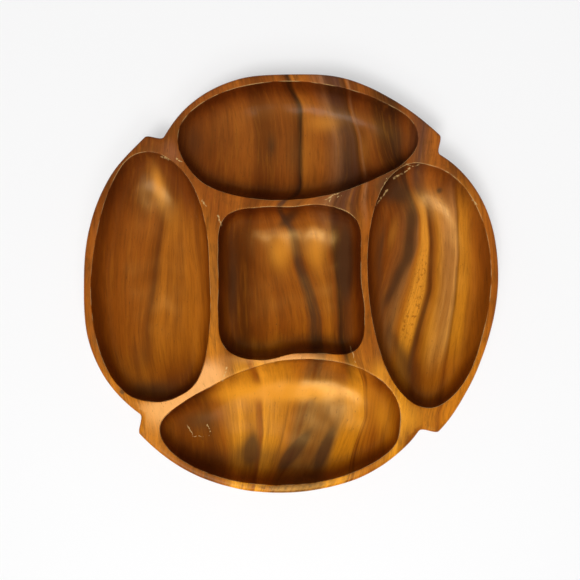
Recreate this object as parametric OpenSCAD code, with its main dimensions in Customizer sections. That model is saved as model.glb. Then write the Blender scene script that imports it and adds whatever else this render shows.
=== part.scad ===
// Divided serving bowl: a low round wooden tray glued up from five staves, with four egg-shaped
// hollows set round a rounded square one. The four lobes of its outline follow each other like
// the blades of a pinwheel. The origin is the middle of the flat underside, +Z is up, the grain
// runs along Y, and the hollows are named as seen from above with +Y at the top.

/* [Tray] */
// Mean width of the tray across two facing lobes
tray_w = 306; // [290:1:340]
// Height of the tray from the table to its flat top
tray_h = 38; // [34:1:50]
// Width of the flat underside that the tray stands on
base_w = 206; // [180:1:226]
// Radius of the eased edge round the outside of the top
rim_edge_r = 2.5; // [1:0.5:4]

/* [Lobes] */
// How far the end of each lobe stands out over the start of the next one
lobe_step = 10; // [5:0.5:13]
// Angle over which a lobe draws in towards its end
lobe_draw_in = 28; // [20:1:36]
// Angle taken by the rounded step between one lobe and the next
lobe_turn = 4; // [3:0.5:7]
// Angle at which the first step stands, counted from +X
first_step_at = 41; // [30:1:60]

/* [Hollows] */
// Thickness of the wood left under the hollows
floor_t = 11; // [8:0.5:14]
// Width of the wood left between a petal hollow and the outside edge
rim_land = 6.5; // [5:0.5:12]
// Width of the wood left between the centre hollow and each petal hollow
bridge_land = 6; // [4:0.5:12]
// Wood left along a petal hollow between its end and the circle inside the rim land
petal_end_land = 15.5; // [12:0.5:30]
// How far each petal hollow sits round towards the step at the end of its lobe
petal_lead = 5; // [0:0.5:6]
// Width of the rounded square centre hollow
centre_w = 106; // [90:1:112]
// Radius of the eased edge round each hollow
hollow_edge_r = 1; // [0.5:0.25:1.5]

/* [Staves] */
// Share of the tray's width that the stave through the middle takes
centre_stave_share = 0.2; // [0.16:0.01:0.24]
// Share of the tray's width that each of the two staves beside it takes
inner_stave_share = 0.22; // [0.2:0.01:0.24]

/* [Smoothness] */
// Points round each hollow
hollow_points = 56; // [32:8:80]
// Steps from the edge of a hollow down to its floor
hollow_steps = 7; // [5:1:9]
// Steps up the outside from the underside to the rim
side_steps = 6; // [4:1:9]

/* [Hidden] */

// Colours of the oiled wood, a little different from stave to stave
dark_wood = "#6b3a14";
mid_wood = "#83481a";
warm_wood = "#96561f";

// Every cutter runs this far past the face that it leaves
overrun = 2;

// Outside form
rim_r = tray_w / 2;
base_r = base_w / 2;
side_h = tray_h - rim_edge_r;
lobes = 4;
lobe_angle = 360 / lobes;
// Places of the outline's points along the long quiet stretch of a lobe, as shares of it
lobe_run_shares = [0.08, 0.17, 0.26, 0.35, 0.44, 0.53, 0.62, 0.7, 0.78, 0.85, 0.91, 0.96];
// Places of the outline's points on the rounded step, as shares of its angle
lobe_turn_shares = [0, 0.2, 0.35, 0.5, 0.65, 0.8, 1];
// The carver's rim: its reach at twenty-four even turns from +X, as a share of the mean radius
rim_shares = [
    0.995, 1.005, 1.015, 1.01, 1.01, 1.02, 1.005, 1.015, 1.01, 0.995, 1.01, 1.005,
    0.995, 1.01, 1.02, 1.025, 1.03, 1.02, 1.005, 0.995, 0.995, 1.005, 0.99, 0.985
];
// Turns of the eased edges at which they have a ring of points
rim_edge_turns = [30, 60, 90];
hollow_edge_turns = [30, 60];

// Places and sizes of the hollows
centre_r = centre_w / 2;
petal_outer = rim_r - rim_land;
petal_inner = centre_r + bridge_land;
petal_half_w = (petal_outer - petal_inner) / 2;
petal_ring = (petal_outer + petal_inner) / 2;
petal_half_len = sqrt(petal_outer * petal_outer - petal_ring * petal_ring) - petal_end_land;
hollow_drop = tray_h - hollow_edge_r - floor_t;
// How square the section of a hollow is: 2 is an ellipse, and more gives a flatter floor
hollow_squareness = 4.5;

// The carver's outlines. Each value is the reach of the edge at one of sixteen even turns, as a
// share of an ellipse of the petal's half length and half width, or of the centre's half width.
// The turns start at the leading end of a petal, or at +X for the centre, and go round by way of
// the outer edge of the tray, or +Y.
top_shares = [
    0.98, 1.0, 0.97, 0.98, 1.02, 1.04, 1.03, 1.01,
    0.98, 0.98, 1.02, 0.99, 0.93, 0.88, 0.86, 0.92
];
left_shares = [
    1.02, 1.03, 0.98, 0.95, 0.98, 1.02, 1.04, 1.03,
    1.02, 1.07, 1.15, 1.06, 0.98, 1.0, 1.02, 1.01
];
bottom_shares = [
    1.01, 1.03, 1.02, 1.02, 1.01, 0.99, 0.97, 0.97,
    0.95, 1.0, 1.08, 1.12, 1.05, 0.93, 0.86, 0.9
];
right_shares = [
    0.96, 0.93, 0.92, 0.92, 0.98, 1.02, 1.01, 1.0,
    1.02, 1.11, 1.17, 1.12, 1.04, 0.99, 0.98, 0.97
];
centre_shares = [
    0.96, 1.03, 1.25, 1.16, 1.05, 1.13, 1.28, 1.08,
    0.99, 1.08, 1.26, 1.13, 0.96, 1.03, 1.27, 1.09
];
// The turn of each petal about the middle of the tray, with its outline
petals = [[0, top_shares], [90, left_shares], [180, bottom_shares], [270, right_shares]];
petal_middle = [petal_lead, petal_ring];

// Seams between the staves
inner_seam = tray_w * centre_stave_share / 2;
outer_seam = inner_seam + tray_w * inner_stave_share;

// A smooth closed curve through a list of shares, read at a whole or broken place along it
function curve_at(shares, place) =
    let (
        count = len(shares),
        first = floor(place),
        part = place - first,
        a = shares[(first + count - 1) % count],
        b = shares[first % count],
        c = shares[(first + 1) % count],
        d = shares[(first + 2) % count]
    )
    b + part / 2 * (c - a + part * (2 * a - 5 * b + 4 * c - d + part * (3 * b - 3 * c + d - a)));

// The outline of a hollow about its own middle
function hollow_outline(shares, half_len, half_w) = [
    for (i = [0 : hollow_points - 1])
        let (reach = curve_at(shares, i / hollow_points * len(shares)), turn = 360 * i / hollow_points)
        [half_len * reach * cos(turn), half_w * reach * sin(turn)]
];

// How far the outline of the tray is drawn in at an angle after the last step, from 0 to 1
function draw_in(after) =
    after < lobe_turn ? (1 + cos(180 * after / lobe_turn)) / 2 :
    after < lobe_angle - lobe_draw_in ? 0 :
    pow((after - lobe_angle + lobe_draw_in) / lobe_draw_in, 2);

// The angles of the outline's points, counted from a step
lobe_turns = concat(
    [for (share = lobe_turn_shares) share * lobe_turn],
    [for (share = lobe_run_shares) lobe_turn + share * (lobe_angle - lobe_turn)]
);

// The outline of the tray where it is widest
tray_outline = [
    for (lobe = [0 : lobes - 1], after = lobe_turns)
        let (
            turn = first_step_at + lobe * lobe_angle + after,
            carved = rim_r * curve_at(rim_shares, (turn % 360) / 360 * len(rim_shares)),
            reach = carved - lobe_step * draw_in(after)
        )
        [reach * cos(turn), reach * sin(turn)]
];

// A point turned about the middle of the tray
function turned(point, turn) = [
    point[0] * cos(turn) - point[1] * sin(turn),
    point[0] * sin(turn) + point[1] * cos(turn)
];

// Every hollow as its outline in the tray and its own middle
centre_hollow = [hollow_outline(centre_shares, centre_r, centre_r), [0, 0]];
petal_hollows = [
    for (petal = petals)
        let (outline = hollow_outline(petal[1], petal_half_len, petal_half_w))
        [[for (point = outline) turned(petal_middle + point, petal[0])], turned(petal_middle, petal[0])]
];
hollows = concat([centre_hollow], petal_hollows);

// Whether an outline, with its eased edge, lies partly between two seams
function reaches(outline, from_x, to_x) =
    let (across = [for (point = outline) point[0]])
    max(across) + hollow_edge_r > from_x && min(across) - hollow_edge_r < to_x;

// An outline moved outwards along its own normals
function spread(outline, distance) = [
    for (i = [0 : len(outline) - 1])
        let (
            before = outline[(i + len(outline) - 1) % len(outline)],
            after = outline[(i + 1) % len(outline)],
            along = after - before
        )
        outline[i] + distance * [along[1], -along[0]] / norm(along)
];

// An outline as a ring of points at one height
function ring(outline, z) = [for (point = outline) [point[0], point[1], z]];

// A closed solid through rings of equal length, stacked from a lower pole up to an upper one
module loft(rings, low_pole, high_pole) {
    count = len(rings[0]);
    last = (len(rings) - 1) * count;
    low_at = last + count;
    high_at = low_at + 1;
    points = concat([for (one = rings, point = one) point], [low_pole, high_pole]);
    sides = [
        for (level = [0 : len(rings) - 2], i = [0 : count - 1])
            let (next = (i + 1) % count, low = level * count, high = low + count)
            each [[low + i, high + i, high + next], [low + i, high + next, low + next]]
    ];
    ends = [
        for (i = [0 : count - 1])
            let (next = (i + 1) % count)
            each [[low_at, i, next], [high_at, last + next, last + i]]
    ];
    polyhedron(points, concat(sides, ends), convexity = 6);
}

// The tray before it is hollowed: sides that curve out from the underside, and an eased top edge
module blank() {
    sides = [
        for (step = [0 : side_steps])
            let (turn = 90 * step / side_steps, reach = base_r + (rim_r - base_r) * sin(turn))
            ring(tray_outline * reach / rim_r, side_h * (1 - cos(turn)))
    ];
    edge = [
        for (turn = rim_edge_turns)
            ring(spread(tray_outline, -rim_edge_r * (1 - cos(turn))), side_h + rim_edge_r * sin(turn))
    ];
    loft(concat(sides, edge), [0, 0, 0], [0, 0, tray_h]);
}

// A cutter for one hollow: a bowl with a flat floor and an eased edge, which goes on past the top
// of the tray at the slant that it leaves the edge with
module hollow_cutter(outline, middle) {
    bowl = [
        for (step = [1 : hollow_steps])
            let (turn = 90 * (1 - step / hollow_steps), reach = pow(cos(turn), 2 / hollow_squareness))
            ring(
                [for (point = outline) middle + (point - middle) * reach],
                floor_t + hollow_drop * (1 - sin(turn))
            )
    ];
    edge = [
        for (turn = hollow_edge_turns)
            ring(
                spread(outline, hollow_edge_r * (1 - cos(turn))),
                tray_h - hollow_edge_r * (1 - sin(turn))
            )
    ];
    mouth_z = tray_h + overrun;
    mouth = ring(spread(outline, hollow_edge_r + overrun), mouth_z);
    loft(concat(bowl, edge, [mouth]), concat(middle, floor_t), concat(middle, mouth_z));
}

// The part of the hollowed tray between two seams
module stave(from_x, to_x) {
    difference() {
        intersection() {
            blank();
            translate([from_x, -rim_r - overrun, -overrun])
                cube([to_x - from_x, 2 * (rim_r + overrun), tray_h + 2 * overrun]);
        }
        for (one = hollows)
            if (reaches(one[0], from_x, to_x)) hollow_cutter(one[0], one[1]);
    }
}

module left_rim_stave() {
    color(warm_wood) stave(-rim_r - overrun, -outer_seam);
}

module left_inner_stave() {
    color(mid_wood) stave(-outer_seam, -inner_seam);
}

module centre_stave() {
    color(dark_wood) stave(-inner_seam, inner_seam);
}

module right_inner_stave() {
    color(mid_wood) stave(inner_seam, outer_seam);
}

module right_rim_stave() {
    color(warm_wood) stave(outer_seam, rim_r + overrun);
}

left_rim_stave();
left_inner_stave();
centre_stave();
right_inner_stave();
right_rim_stave();
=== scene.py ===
"""Dressed model of a divided serving bowl: a carved wooden tray with five hollows.

The tray is glued up from five staves. Its surface is lofted from the carver's outlines, worked
over by a Geometry Nodes tree, and then cut at the glue joints into one mesh for each stave.
"""

from __future__ import annotations

import logging
import math
from dataclasses import dataclass, field
from enum import Enum
from typing import Sequence

import bmesh
import bpy
import numpy as np
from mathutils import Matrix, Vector
from mathutils.geometry import delaunay_2d_cdt


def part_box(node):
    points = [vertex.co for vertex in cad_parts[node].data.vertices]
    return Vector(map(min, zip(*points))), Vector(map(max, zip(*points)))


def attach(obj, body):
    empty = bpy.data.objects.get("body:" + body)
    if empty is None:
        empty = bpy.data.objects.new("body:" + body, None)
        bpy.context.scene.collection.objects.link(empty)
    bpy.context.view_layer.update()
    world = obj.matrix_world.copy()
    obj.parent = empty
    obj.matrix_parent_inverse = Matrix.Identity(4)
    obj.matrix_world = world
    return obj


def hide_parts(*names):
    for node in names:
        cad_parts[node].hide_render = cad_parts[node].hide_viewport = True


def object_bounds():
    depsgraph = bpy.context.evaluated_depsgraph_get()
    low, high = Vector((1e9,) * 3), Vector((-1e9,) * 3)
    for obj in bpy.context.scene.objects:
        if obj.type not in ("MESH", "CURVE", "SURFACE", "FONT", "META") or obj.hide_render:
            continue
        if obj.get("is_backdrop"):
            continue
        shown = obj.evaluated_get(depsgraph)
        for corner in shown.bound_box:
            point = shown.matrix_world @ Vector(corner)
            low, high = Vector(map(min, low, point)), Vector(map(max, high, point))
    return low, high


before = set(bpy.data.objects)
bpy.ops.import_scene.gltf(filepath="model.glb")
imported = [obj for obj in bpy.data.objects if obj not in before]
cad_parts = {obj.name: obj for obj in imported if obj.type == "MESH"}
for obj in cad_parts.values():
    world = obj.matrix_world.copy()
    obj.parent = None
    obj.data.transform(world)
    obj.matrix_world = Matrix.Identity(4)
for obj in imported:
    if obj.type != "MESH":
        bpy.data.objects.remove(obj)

LOG = logging.getLogger("serving_bowl")
MM = 0.001
TINY = 1e-15
NOISE_MEAN = 0.5
Socket = bpy.types.NodeSocket


class Stave(Enum):
    """The staves from left to right, by the name of the CAD node that each one stands for."""

    LEFT_RIM = "left_rim_stave"
    LEFT_INNER = "left_inner_stave"
    CENTRE = "centre_stave"
    RIGHT_INNER = "right_inner_stave"
    RIGHT_RIM = "right_rim_stave"


class Region(Enum):
    """What a point of the tray's surface belongs to."""

    SIDE = 0
    UNDERSIDE = 1
    BOWL = 2
    LAND = 3


class WoodTone(Enum):
    """The tones of the wood under its lacquer, from the dark heart to the palest streaks, with the tones used
    for painted shade and painted edge highlights.
    """

    HEART = (0.045, 0.017, 0.007)
    UMBER = (0.100, 0.033, 0.006)
    RUSSET = (0.175, 0.052, 0.007)
    CHESTNUT = (0.255, 0.080, 0.010)
    COPPER = (0.345, 0.118, 0.013)
    AMBER = (0.455, 0.180, 0.018)
    GOLD = (0.600, 0.285, 0.024)
    BRASS = (0.820, 0.420, 0.050)
    HONEY = (0.630, 0.355, 0.105)
    BIRCH = (0.680, 0.410, 0.250)
    ASH = (0.285, 0.148, 0.055)
    SMOKE = (0.110, 0.050, 0.026)
    PITCH = (0.045, 0.016, 0.005)
    # Dark patches: wood figure, and painted shade.
    STAIN_AND_SHADE = (0.080, 0.030, 0.012)
    PORE = (0.040, 0.018, 0.008)
    SCRATCHED = (0.620, 0.420, 0.170)
    # Pale mouth edges: worn lacquer, and painted edge highlight.
    WORN_AND_HIGHLIT = (0.600, 0.380, 0.150)

    @property
    def rgba(self) -> tuple[float, float, float, float]:
        """The tone as a colour that a socket takes."""
        return (*self.value, 1.0)


@dataclass(frozen=True)
class Ease:
    """A soft step: the span of a value that is read, and what it leads to at both ends."""

    low: float
    high: float
    at_low: float = 0.0
    at_high: float = 1.0


@dataclass(frozen=True)
class Grain:
    """The scale, the detail and the roughness of a noise."""

    scale: float
    detail: float = 3.0
    roughness: float = 0.5


def curve_at(shares: Sequence[float], place: np.ndarray) -> np.ndarray:
    """A smooth closed curve through a list of shares.

    Args:
        shares: values at even steps round the curve.
        place: where to read it, counted in steps from the first value.

    Returns:
        The value of the curve at each place.
    """
    values = np.asarray(shares, float)
    count = len(values)
    first = np.floor(place).astype(int)
    part = place - first
    a, b, c, d = (values[(first + step) % count] for step in (-1, 0, 1, 2))
    return b + part / 2 * (c - a + part * (2 * a - 5 * b + 4 * c - d + part * (3 * b - 3 * c + d - a)))


def ring_normals(outline: np.ndarray) -> np.ndarray:
    """The outward unit normals of a closed outline.

    Args:
        outline: the corners of the outline, anticlockwise, one row each.

    Returns:
        One unit normal for each corner.
    """
    along = np.roll(outline, -1, 0) - np.roll(outline, 1, 0)
    along /= np.linalg.norm(along, axis=1, keepdims=True)
    return np.column_stack([along[:, 1], -along[:, 0]])


def spread(outline: np.ndarray, distance: np.ndarray | float) -> np.ndarray:
    """An outline moved outwards along its own normals."""
    return outline + ring_normals(outline) * np.reshape(distance, (-1, 1))


def inside(points: np.ndarray, outline: np.ndarray) -> np.ndarray:
    """Which points lie inside a closed outline.

    Args:
        points: plan positions, one row each.
        outline: the corners of the outline, one row each.

    Returns:
        True for each point that lies inside.
    """
    hit = np.zeros(len(points), bool)
    for (x0, y0), (x1, y1) in zip(outline, np.roll(outline, -1, 0)):
        crosses = (y0 > points[:, 1]) != (y1 > points[:, 1])
        if crosses.any():
            at = x0 + (points[:, 1] - y0) / (y1 - y0 + TINY) * (x1 - x0)
            hit ^= crosses & (points[:, 0] < at)
    return hit


@dataclass(frozen=True)
class PinwheelOutline:
    """The outside of the tray seen from above: four lobes, each stepping out past the next."""

    radius: float = 153 * MM
    lobes: int = 4
    step: float = 10 * MM
    draw_in: float = 28.0
    turn: float = 4.0
    first_step_at: float = 41.0
    step_points: int = 18
    run_points: int = 168
    rim_shares: tuple[float, ...] = (
        0.995, 1.005, 1.015, 1.01, 1.01, 1.02, 1.005, 1.015, 1.01, 0.995, 1.01, 1.005,
        0.995, 1.01, 1.02, 1.025, 1.03, 1.02, 1.005, 0.995, 0.995, 1.005, 0.99, 0.985,
    )

    def points(self, low: Vector, high: Vector) -> np.ndarray:
        """The outline, fitted to the box of the CAD tray.

        Args:
            low: lowest corner of the CAD box.
            high: highest corner of the CAD box.

        Returns:
            Plan positions, anticlockwise.
        """
        angle = 360 / self.lobes
        on_step = np.linspace(0, self.turn, self.step_points, endpoint=False)
        on_run = np.linspace(self.turn, angle, self.run_points, endpoint=False)
        after = np.concatenate([on_step, on_run])
        late = np.clip((after - angle + self.draw_in) / self.draw_in, 0, 1) ** 2
        early = np.where(after < self.turn, (1 + np.cos(math.pi * after / self.turn)) / 2, 0)
        turns = np.concatenate([self.first_step_at + lobe * angle + after for lobe in range(self.lobes)])
        carved = self.radius * curve_at(self.rim_shares, (turns % 360) / 360 * len(self.rim_shares))
        reach = carved - self.step * np.tile(late + early, self.lobes)
        flat = np.column_stack([reach * np.cos(np.radians(turns)), reach * np.sin(np.radians(turns))])
        own_low, own_high = flat.min(0), flat.max(0)
        share = (flat - own_low) / (own_high - own_low)
        return np.array(low[:2]) + share * (np.array(high[:2]) - np.array(low[:2]))


@dataclass(frozen=True)
class Hollow:
    """One carved hollow: its mouth as shares of an ellipse, and where it sits in the tray."""

    name: str
    shares: tuple[float, ...]
    half_length: float
    half_width: float
    middle: tuple[float, float] = (0.0, 0.0)
    turn: float = 0.0
    points: int = 288

    def centre(self) -> np.ndarray:
        """The middle of the hollow in the tray."""
        return self._turned(np.array([self.middle]))[0]

    def mouth(self) -> np.ndarray:
        """The outline of the mouth.

        Returns:
            Plan positions in the tray, anticlockwise.
        """
        turns = np.linspace(0, 2 * math.pi, self.points, endpoint=False)
        reach = curve_at(self.shares, turns / (2 * math.pi) * len(self.shares))
        own = np.column_stack([
            self.half_length * reach * np.cos(turns), self.half_width * reach * np.sin(turns)
        ])
        return self._turned(own + np.array(self.middle))

    def _turned(self, points: np.ndarray) -> np.ndarray:
        """Points turned about the middle of the tray by the hollow's own turn."""
        c, s = math.cos(math.radians(self.turn)), math.sin(math.radians(self.turn))
        return np.column_stack([points[:, 0] * c - points[:, 1] * s, points[:, 0] * s + points[:, 1] * c])


@dataclass
class SurfaceMaker:
    """Collects rings of points and the faces between them, with what each point belongs to."""

    places: list[np.ndarray] = field(default_factory=list)
    regions: list[np.ndarray] = field(default_factory=list)
    turns: list[np.ndarray] = field(default_factory=list)
    middles: list[np.ndarray] = field(default_factory=list)
    faces: list[tuple[int, ...]] = field(default_factory=list)
    count: int = 0

    def add(self, plan: np.ndarray, z: float, region: Region, turn: float = 0.0,
            middle: Sequence[float] = (0.0, 0.0)) -> np.ndarray:
        """Adds points at one height.

        Args:
            plan: plan positions, one row each.
            z: their height.
            region: what they belong to.
            turn: angle of the bowl's section there, from 0 at the mouth to a quarter turn.
            middle: middle of the hollow that they belong to.

        Returns:
            The points' numbers.
        """
        total = len(plan)
        self.places.append(np.column_stack([plan, np.full(total, z)]))
        self.regions.append(np.full(total, region.value, float))
        self.turns.append(np.full(total, turn))
        self.middles.append(np.tile([middle[0], middle[1], 0.0], (total, 1)))
        self.count += total
        return np.arange(self.count - total, self.count)

    def band(self, one: np.ndarray, other: np.ndarray) -> None:
        """Joins two rings of equal length with quads."""
        after, beyond = np.roll(one, -1), np.roll(other, -1)
        self.faces.extend(zip(one.tolist(), after.tolist(), beyond.tolist(), other.tolist()))

    def fan(self, ring: np.ndarray, pole: int) -> None:
        """Closes a ring with triangles that meet in one point."""
        self.faces.extend((a, b, pole) for a, b in zip(ring.tolist(), np.roll(ring, -1).tolist()))

    def mesh(self, name: str) -> bpy.types.Mesh:
        """The collected surface as a mesh, its faces turned outwards.

        Args:
            name: name of the mesh.

        Returns:
            A closed mesh whose points carry region, turn and middle.
        """
        mesh = bpy.data.meshes.new(name)
        mesh.from_pydata(np.concatenate(self.places).tolist(), [], self.faces)
        for label, kind, values in (
            ("region", "FLOAT", np.concatenate(self.regions)),
            ("section_turn", "FLOAT", np.concatenate(self.turns)),
            ("hollow_middle", "FLOAT_VECTOR", np.concatenate(self.middles)),
        ):
            layer = mesh.attributes.new(label, kind, "POINT")
            slot = "value" if kind == "FLOAT" else "vector"
            layer.data.foreach_set(slot, values.ravel().astype(np.float32))
        work = bmesh.new()
        work.from_mesh(mesh)
        bmesh.ops.recalc_face_normals(work, faces=work.faces)
        if work.calc_volume(signed=True) < 0:
            bmesh.ops.reverse_faces(work, faces=work.faces)
        for face in work.faces:
            face.smooth = True
        work.to_mesh(mesh)
        work.free()
        return mesh


class NodeBench:
    """A small helper that sets nodes out in a tree and links them."""

    columns: int = 12
    spacing: tuple[int, int] = (180, 220)

    def __init__(self, tree: bpy.types.NodeTree) -> None:
        """Starts on an empty tree.

        Args:
            tree: the node tree to work in.
        """
        self.tree = tree
        self.tree.nodes.clear()

    def put(self, kind: str, inputs: dict | None = None, **settings: object) -> bpy.types.Node:
        """Adds a node.

        Args:
            kind: the node's type name.
            inputs: values or sockets for its inputs, by name or number.
            settings: properties of the node.

        Returns:
            The new node.
        """
        node = self.tree.nodes.new(kind)
        row, column = divmod(len(self.tree.nodes), self.columns)
        node.location = (self.spacing[0] * column, -self.spacing[1] * row)
        for key, value in settings.items():
            setattr(node, key, value)
        for key, value in (inputs or {}).items():
            if isinstance(value, Socket):
                self.tree.links.new(value, node.inputs[key])
            else:
                node.inputs[key].default_value = value
        return node

    def math(self, operation: str, a: object, b: object = 0.0, clamp: bool = False) -> Socket:
        """One step of arithmetic on values or sockets."""
        return self.put("ShaderNodeMath", {0: a, 1: b}, operation=operation, use_clamp=clamp).outputs[0]

    def times(self, first: object, *others: object) -> Socket:
        """Several values multiplied together."""
        for other in others:
            first = self.math("MULTIPLY", first, other)
        return first

    def vector(self, operation: str, a: object, b: object) -> Socket:
        """One step of arithmetic on vectors."""
        return self.put("ShaderNodeVectorMath", {0: a, 1: b}, operation=operation).outputs[0]

    def measured(self, operation: str, a: object, b: object) -> Socket:
        """A number taken from two vectors."""
        return self.put("ShaderNodeVectorMath", {0: a, 1: b}, operation=operation).outputs["Value"]

    def stretched(self, vector: object, by: object) -> Socket:
        """A vector times a number."""
        return self.put("ShaderNodeVectorMath", {0: vector, "Scale": by}, operation="SCALE").outputs[0]

    def joined(self, x: object, y: object, z: object = 0.0) -> Socket:
        """A vector made from its three parts."""
        return self.put("ShaderNodeCombineXYZ", {0: x, 1: y, 2: z}).outputs[0]

    def eased(self, value: object, ease: Ease) -> Socket:
        """A value read through a soft step and held beyond both its ends."""
        inputs = {
            "Value": value, "From Min": ease.low, "From Max": ease.high, "To Min": ease.at_low,
            "To Max": ease.at_high,
        }
        return self.put("ShaderNodeMapRange", inputs, interpolation_type="SMOOTHSTEP").outputs[0]

    def mix(self, share: object, a: object, b: object, blend: str = "MIX") -> Socket:
        """Two colours mixed by a share."""
        inputs = {0: share, 6: a, 7: b}
        settings = {"data_type": "RGBA", "blend_type": blend, "clamp_factor": True}
        return self.put("ShaderNodeMix", inputs, **settings).outputs[2]

    def tinted(self, share: object, colour: object, tint: object) -> Socket:
        """A colour that takes on a tint by a share."""
        return self.mix(share, colour, self.mix(1.0, colour, tint, "MULTIPLY"))

    def noise(self, vector: object, grain: Grain, scale: object = None) -> Socket:
        """Soft noise from about 0 to 1, at the grain's own scale or at another."""
        size = grain.scale if scale is None else scale
        inputs = {"Vector": vector, "Scale": size, "Detail": grain.detail, "Roughness": grain.roughness}
        return self.put("ShaderNodeTexNoise", inputs).outputs[0]

    def read(self, name: str) -> Socket:
        """A point attribute, in a material."""
        return self.put("ShaderNodeAttribute", attribute_name=name).outputs["Fac"]

    def stored(self, name: str, kind: str = "FLOAT") -> Socket:
        """A point attribute, in a Geometry Nodes tree."""
        return self.put("GeometryNodeInputNamedAttribute", {"Name": name}, data_type=kind).outputs[0]


@dataclass(frozen=True)
class HandCarving:
    """The Geometry Nodes tree that sinks the bowls and leaves the slight waves of hand work."""

    floor: float = 11 * MM
    edge: float = 1 * MM
    squareness: float = 4.5
    wave: float = 0.9 * MM
    wave_length: float = 30 * MM
    gouge: float = 1.7 * MM
    gouge_width: float = 21 * MM
    gouge_length: float = 27 * MM
    seed: float = 7.0
    wave_stretch: tuple[float, float, float] = (1.0, 0.55, 1.0)
    wave_grain: Grain = Grain(1.0, 1.5, 0.45)
    gouge_grain: Grain = Grain(1.0, 1.0, 0.4)
    region_gap: float = 0.1
    gouged_from: Ease = Ease(0.05, 0.4)

    def tree(self, material: bpy.types.Material) -> bpy.types.NodeTree:
        """Builds the tree.

        Args:
            material: the finish that the tree sets.

        Returns:
            A tree with the named inputs Height, Floor, Edge, Squareness, Wave, Wave Length, Gouge,
            Gouge Width, Gouge Length and Seed.
        """
        tree = bpy.data.node_groups.new("hand_carving", "GeometryNodeTree")
        bench = NodeBench(tree)
        face = tree.interface
        face.new_socket("Geometry", in_out="INPUT", socket_type="NodeSocketGeometry")
        for name in self._sizes(0.0):
            face.new_socket(name, in_out="INPUT", socket_type="NodeSocketFloat")
        face.new_socket("Geometry", in_out="OUTPUT", socket_type="NodeSocketGeometry")
        given = bench.put("NodeGroupInput").outputs
        region, turn = bench.stored("region"), bench.stored("section_turn")
        place = bench.put("GeometryNodeInputPosition").outputs[0]
        sides = {0: self._belongs(bench, region, Region.BOWL), 1: bench.math("GREATER_THAN", turn)}
        sinking = bench.put("FunctionNodeBooleanMath", sides, operation="AND").outputs[0]
        sunk = self._sunk(bench, given, place, turn)
        sink = bench.put(
            "GeometryNodeSetPosition", {"Geometry": given["Geometry"], "Selection": sinking, "Position": sunk}
        )
        worked = bench.math("SUBTRACT", 1.0, self._belongs(bench, region, Region.UNDERSIDE))
        slow = bench.times(self._waves(bench, given, place), given["Wave"], worked)
        bite = bench.times(
            self._gouges(bench, given, place), given["Gouge"], bench.eased(turn, self.gouged_from)
        )
        depth = bench.math("ADD", slow, bite)
        normal = bench.put("GeometryNodeInputNormal").outputs[0]
        inward = bench.stretched(normal, bench.times(depth, -1.0))
        scrape = bench.put("GeometryNodeSetPosition", {"Geometry": sink.outputs[0], "Offset": inward})
        whole = bench.put("GeometryNodeRealizeInstances", {"Geometry": scrape.outputs[0]})
        coated = bench.put("GeometryNodeSetMaterial", {"Geometry": whole.outputs[0], "Material": material})
        bench.put("NodeGroupOutput", {"Geometry": coated.outputs[0]})
        return tree

    def _belongs(self, bench: NodeBench, region: Socket, wanted: Region) -> Socket:
        """Whether a point belongs to a region."""
        inputs = {"A": region, "B": float(wanted.value), "Epsilon": self.region_gap}
        return bench.put("FunctionNodeCompare", inputs, data_type="FLOAT", operation="EQUAL").outputs[0]

    @staticmethod
    def _sunk(bench: NodeBench, given: bpy.types.NodeOutputs, place: Socket, turn: Socket) -> Socket:
        """Where a point of the mouth goes in the bowl below it.

        Args:
            bench: the bench of the tree.
            given: the tree's named inputs.
            place: the point on the mouth.
            turn: its angle in the bowl's section, from 0 at the mouth to a quarter turn.

        Returns:
            Its place in the bowl.
        """
        middle = bench.stored("hollow_middle", "FLOAT_VECTOR")
        reach = bench.math(
            "POWER", bench.math("MAXIMUM", bench.math("COSINE", turn), 0.0),
            bench.math("DIVIDE", 2.0, given["Squareness"]),
        )
        drawn = bench.stretched(bench.vector("SUBTRACT", place, middle), reach)
        parts = bench.put("ShaderNodeSeparateXYZ", {0: bench.vector("ADD", middle, drawn)}).outputs
        drop = bench.math("SUBTRACT", bench.math("SUBTRACT", given["Height"], given["Edge"]), given["Floor"])
        rise = bench.times(drop, bench.math("SUBTRACT", 1.0, bench.math("SINE", turn)))
        return bench.joined(parts[0], parts[1], bench.math("ADD", given["Floor"], rise))

    def _waves(self, bench: NodeBench, given: bpy.types.NodeOutputs, place: Socket) -> Socket:
        """The slow waves of hand work.

        Args:
            bench: the bench of the tree.
            given: the tree's named inputs.
            place: the point on the sunk surface.

        Returns:
            The depth of the waves there, from 0 to 1.
        """
        where = bench.vector(
            "ADD", bench.vector("MULTIPLY", place, self.wave_stretch),
            bench.joined(given["Seed"], given["Seed"], given["Seed"]),
        )
        scale = bench.math("DIVIDE", 1.0, given["Wave Length"])
        return bench.math("MINIMUM", bench.noise(where, self.wave_grain, scale), 1.0)

    def _gouges(self, bench: NodeBench, given: bpy.types.NodeOutputs, place: Socket) -> Socket:
        """The shallow bites of the gouge.

        Args:
            bench: the bench of the tree.
            given: the tree's named inputs.
            place: the point on the sunk surface.

        Returns:
            The depth of the bites there, about a mean of 0.
        """
        across, along = (bench.math("DIVIDE", 1.0, given[name]) for name in ("Gouge Width", "Gouge Length"))
        marks = bench.vector("MULTIPLY", place, bench.joined(across, along, across))
        bites = bench.math("MINIMUM", bench.noise(marks, self.gouge_grain), 1.0)
        return bench.math("SUBTRACT", bites, NOISE_MEAN)

    def _sizes(self, height: float) -> dict[str, float]:
        """The tree's named inputs and their values."""
        return {
            "Height": height, "Floor": self.floor, "Edge": self.edge, "Squareness": self.squareness,
            "Wave": self.wave, "Wave Length": self.wave_length, "Gouge": self.gouge,
            "Gouge Width": self.gouge_width, "Gouge Length": self.gouge_length, "Seed": self.seed,
        }

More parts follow.
